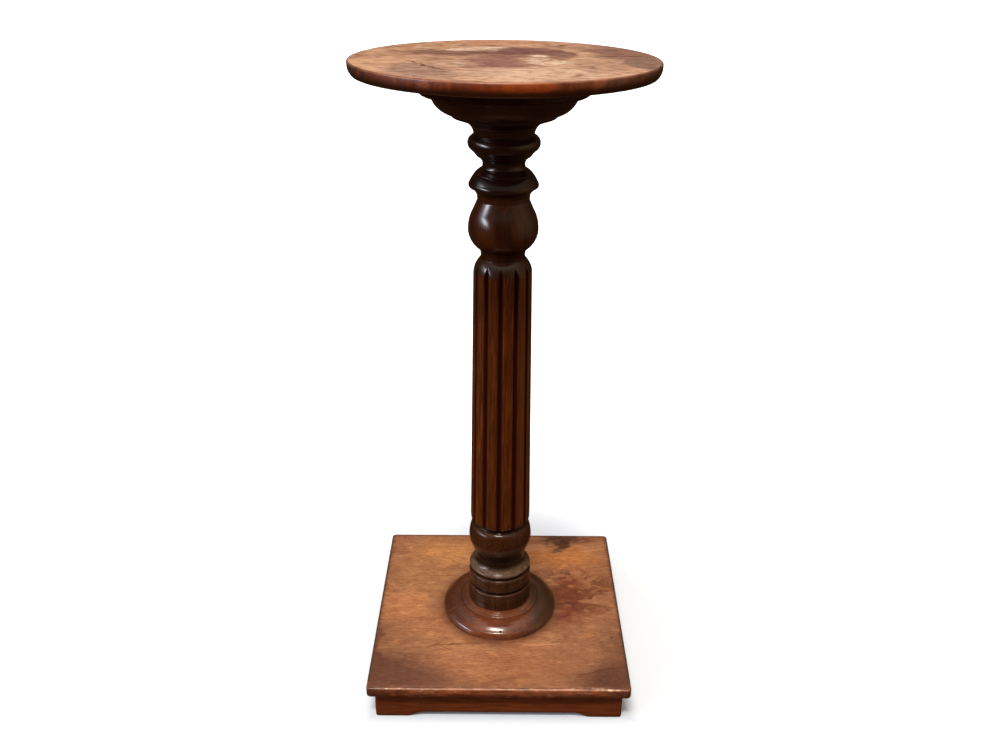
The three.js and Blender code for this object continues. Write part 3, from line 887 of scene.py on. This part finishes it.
def orange_board():
    """Orange brown varnish over fine wavy grain, with reddish stains inside darker tide lines,
    dirt along the margin, and a worn front edge. A dark line along the rounded margin, a dark
    ring round the collar and the edge's lower part are painted shade, and the worn front arris
    is painted pale as worn varnish and a painted highlight, with painted glints."""
    f = Finish("orange_board")
    places = f.drift(46, 16, 10, 8)
    wander = f.drift(22, 3, 6, 1.5, shift=4)
    broad = f.grain(28, 2.4, detail=4, distortion=0.5)
    streak = f.grain(3.2, 9, detail=4, shift=1)
    ripple = f.grain(2.6, 3.4, detail=3, shift=6, distortion=0.6)
    cloud = f.grain(12, 1.6, detail=5, shift=9)
    margin = f.mark("margin")
    f.colour = f.tones(broad, 0.35, 0.66, (178, 127, 89), (146, 99, 67))
    f.blots(places, BOARD_BLOTS, soft=0.45)
    tide = f.grain(24, 1.5, detail=6, shift=11, distortion=0.8)
    stained = f.blot(places, *TIDE_AREA, soft=0.4)
    f.lay(f.times(f.ramp(tide, 0.47, 0.53), stained), (108, 52, 31), 0.8)
    line = f.ramp(f.math("ABSOLUTE", f.math("SUBTRACT", tide, 0.49)), 0.03, 0.0)
    f.lay(f.times(line, stained), (70, 30, 18), 0.85)
    f.tint(f.figure(70, 5, 16, shift=3), 0.5, 1, 0.28, (140, 84, 52))
    f.tint(cloud, 0.5, 0.68, 0.22, (130, 78, 50))
    f.tint(cloud, 0.46, 0.32, 0.25, (224, 156, 102))
    f.blots(wander, BOARD_CORNERS, soft=0.6)
    f.tint(streak, 0.5, 0.72, 0.3, (120, 70, 44))
    f.tint(ripple, 0.5, 0.66, 0.6, (205, 188, 178), "MULTIPLY")
    f.tint(ripple, 0.46, 0.32, 0.5, (90, 68, 52), "SCREEN")
    f.blots(wander, BOARD_STROKES, soft=0.5)
    grime = f.frayed(margin, 14, 9, 2.5, shift=12)
    f.tint(grime, 46 * MM, 0, 0.3, (104, 62, 40))
    f.tint(grime, 9 * MM, 0, 0.7, (84, 48, 30))
    # Painted shade in a ring round the collar's foot
    collar_shade = f.frayed(f.from_middle(f.plank), 8, 8, 2, shift=14)
    f.tint(collar_shade, 112 * MM, 88 * MM, 0.7, (92, 52, 32))
    # Painted shade along the margin's rounded edge
    f.tint(margin, 5 * MM, 1 * MM, 0.75, (58, 33, 22))
    face = f.colour

    across, away, level = f.axes()
    f.colour = f.tones(streak, 0.4, 0.7, (134, 62, 27), (90, 38, 16))
    f.tint(cloud, 0.5, 0.66, 0.5, (84, 38, 20))
    # Painted shade on the edge's lower, downward-facing round
    f.lay(f.climb(level, EDGE_SHADE), (46, 20, 9), 0.8)
    right_end = f.ramp(across, 150 * MM, 192 * MM)
    ends = f.math("ADD", right_end, f.ramp(across, -120 * MM, -180 * MM))
    f.lay(ends, (66, 36, 20), 0.65)
    mottle = f.grain(7, 2, detail=6, shift=21)
    f.tint(mottle, 0.5, 0.62, 0.55, (70, 30, 14))
    f.tint(mottle, 0.45, 0.34, 0.4, (164, 86, 46))
    f.colour = f.mix(f.mark("rim"), face, f.colour)
    # The arris is painted pale, most along the front: worn varnish with a painted highlight.
    worn_highlight = f.ramp(f.grain(9, 3, detail=5, shift=8), 0.36, 0.56, 0.25, 1)
    worn_highlight = f.times(worn_highlight, f.ramp(away, -170 * MM, -193 * MM, 0.15, 1))
    worn_highlight = f.times(worn_highlight, f.ramp(ends, 0.2, 1, 1, 0.45))
    worn_highlight = f.times(f.mark("arris"), worn_highlight)
    f.lay(worn_highlight, (226, 158, 120), 0.8)
    # Near-white flecks on the arris: bare wood and painted glints
    bare_and_glints = f.ramp(f.grain(5, 2, detail=4, shift=25), 0.58, 0.66)
    f.lay(f.times(bare_and_glints, worn_highlight), (255, 226, 200))
    height = f.math("ADD", streak, ripple)
    rough = f.ramp(broad, 0.3, 0.7, 0.36, 0.46)
    return f.finish(height, 0.14, Roughness=rough, Coat_Weight=0.2, Coat_Roughness=0.18)


def orange_rail():
    """Orange brown varnish on the rails, darker than the board."""
    f = Finish("orange_rail")
    streak = f.grain(4, 10, detail=5)
    broad = f.grain(30, 3, detail=2, shift=2)
    f.colour = f.tones(streak, 0.35, 0.7, (118, 58, 25), (86, 40, 17))
    f.tint(broad, 0.4, 0.66, 0.25, (80, 33, 13))
    f.lay(f.mark("arris"), (70, 34, 18), 0.4)
    return f.finish(streak, 0.12, Roughness=0.42, Coat_Weight=0.15, Coat_Roughness=0.18)


# Pieces
def fit(piece, material, node):
    """Gives a piece its finish, hangs it under the root body and hides the part of the frame that it
    stands for.
    """
    piece.data.materials.append(material)
    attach(piece, "root")
    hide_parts(node)


fit(top_board(), worn_top(), "top_board")
fit(cap(), dark_turning(), "cap_moulding")
fit(column(), brown_column(), "column")
fit(collar(), red_collar(), "base_collar")
fit(base_board(), orange_board(), "plinth_board")
rail_finish = orange_rail()
for turn, side in enumerate(["front", "right", "back", "left"]):
    fit(rail(side, turn), rail_finish, f"skirt_{side}")


# Floor, room and lights
FLOOR_HALF = 20.0
FLOOR_COLOUR = (0.6, 0.68, 0.785, 1)  # a little blue, against the warm lamp
FLOOR_GLOW = (0.3, 1.05)  # the floor's own light near the pedestal and far from it
FLOOR_REACH = (0.265, 0.52)  # how far from the middle the one ends and the other begins
SHADOW_MIDDLE = (5 * MM, 8 * MM)  # middle of the shadow under the base
SHADOW_REACH = (182 * MM, 212 * MM)  # half sides of the squares between which it fades
SHADOW_GLOW = 0.1  # share of the glow that is left in it
ROOM_GLOW = (0.04, 0.019, 0.008)  # the dim brown room round the lights

# Lights of the room: turn from the front towards +X, height, lean, half width and half height,
# all in degrees, softness of the border, and light given out
ROOM_LIGHTS = {
    "lamp": (-10, 64.7, 0, 9, 3, 0.25, (86, 78, 66)),
    "ceiling": (0, 86, 0, 38, 38, 0.55, (1.25, 1.1, 0.96)),
    "window": (-75, 17, -20, 25, 10, 0.45, (1.9, 1.95, 2.2)),
    "window_core": (-69, 18, -20, 13.5, 4.6, 0.7, (14.5, 15, 17)),
    "right_wall": (70, 12, 0, 34, 26, 0.9, (0.52, 0.32, 0.18)),
    "ground": (0, -55, 0, 60, 40, 0.8, (0.08, 0.034, 0.012)),
}


def white_floor():
    """A plain white floor with a glow of its own, which grows with the distance from the
    middle so that only the shadow at the feet shows; that shadow is painted, by dimming the
    glow in a soft square under the base. It throws no light on the pedestal."""
    mesh = bpy.data.meshes.new("floor")
    corners = [(-1, -1), (1, -1), (1, 1), (-1, 1)]
    mesh.from_pydata([(x * FLOOR_HALF, y * FLOOR_HALF, 0) for x, y in corners], [], [(0, 1, 2, 3)])
    floor = bpy.data.objects.new("floor", mesh)
    bpy.context.scene.collection.objects.link(floor)
    material = bpy.data.materials.new("white_floor")
    material.use_nodes = True
    n = Nodes(material.node_tree)
    shader = n.tree.nodes["Principled BSDF"]
    places = n.node("TexCoord", {}).outputs["Object"]
    glow = n.ramp(n.vector("LENGTH", {0: places}, "Value"), *FLOOR_REACH, *FLOOR_GLOW)
    # Painted contact shadow: the glow is dimmed in a soft square under the base.
    x, y = SHADOW_MIDDLE
    sides = n.node("SeparateXYZ", {0: n.moved(places, Location=(-x, -y, 0))})
    beyond = n.math("MAXIMUM", *(n.math("ABSOLUTE", sides.outputs[i]) for i in (0, 1)))
    glow = n.times(glow, n.ramp(beyond, *SHADOW_REACH, SHADOW_GLOW, 1))
    n.tree.links.new(glow, shader.inputs["Emission Strength"])
    shader.inputs["Base Color"].default_value = FLOOR_COLOUR
    shader.inputs["Roughness"].default_value = 0.9
    shader.inputs["Specular IOR Level"].default_value = 0.0
    shader.inputs["Emission Color"].default_value = (1, 1, 1, 1)
    material.cycles.emission_sampling = "NONE"
    mesh.materials.append(material)
    floor.visible_glossy = False
    floor.visible_diffuse = False


def toward(n, direction, turn, lift, lean, wide, high, soft):
    """1 for directions in an oval of half angles wide and high about a middle, 0 outside it,
    with a soft border. A direction d lies at (d.s / sin wide, d.u / sin high) in the oval,
    where s and u are the side and up directions of the middle after its lean."""
    a, e, lean = math.radians(turn), math.radians(lift), math.radians(lean)
    ahead = np.array([math.sin(a) * math.cos(e), -math.cos(a) * math.cos(e), math.sin(e)])
    level = np.array([math.cos(a), math.sin(a), 0])
    up = np.cross(level, -ahead)
    side = (level * math.cos(lean) + up * math.sin(lean)) / math.sin(math.radians(wide))
    rise = (up * math.cos(lean) - level * math.sin(lean)) / math.sin(math.radians(high))
    dots = [
        n.vector("DOT_PRODUCT", {0: direction, 1: axis.tolist()}, "Value")
        for axis in (side, rise, ahead)
    ]
    squares = [n.times(dot, dot) for dot in dots[:2]]
    apart = n.math("SQRT", n.math("ADD", *squares))
    return n.times(n.ramp(apart, 1 + soft, 1 - soft), n.ramp(dots[2], 0, 0.05))


def room():
    """A room that is white where the camera looks at it and dim brown for everything else, with
    soft-edged lights in it."""
    world = bpy.data.worlds.new("room")
    bpy.context.scene.world = world
    world.use_nodes = True
    n = Nodes(world.node_tree)
    n.tree.nodes.clear()
    direction = n.node("TexCoord", {}).outputs["Generated"]
    glow = ROOM_GLOW
    for turn, lift, lean, wide, high, soft, given in ROOM_LIGHTS.values():
        share = toward(n, direction, turn, lift, lean, wide, high, soft)
        lit = n.vector("SCALE", {0: given, "Scale": share})
        glow = n.vector("ADD", {0: glow, 1: lit})
    lights = n.node("Background", {"Color": glow})
    white = n.node("Background", {"Color": (1, 1, 1, 1)})
    path = n.node("LightPath", {})
    inputs = {0: path.outputs["Is Camera Ray"], 1: lights.outputs[0], 2: white.outputs[0]}
    mix = n.node("MixShader", inputs)
    n.node("OutputWorld", {"Surface": mix.outputs["Shader"]})


white_floor()
room()
bpy.context.scene.view_settings.view_transform = "Standard"
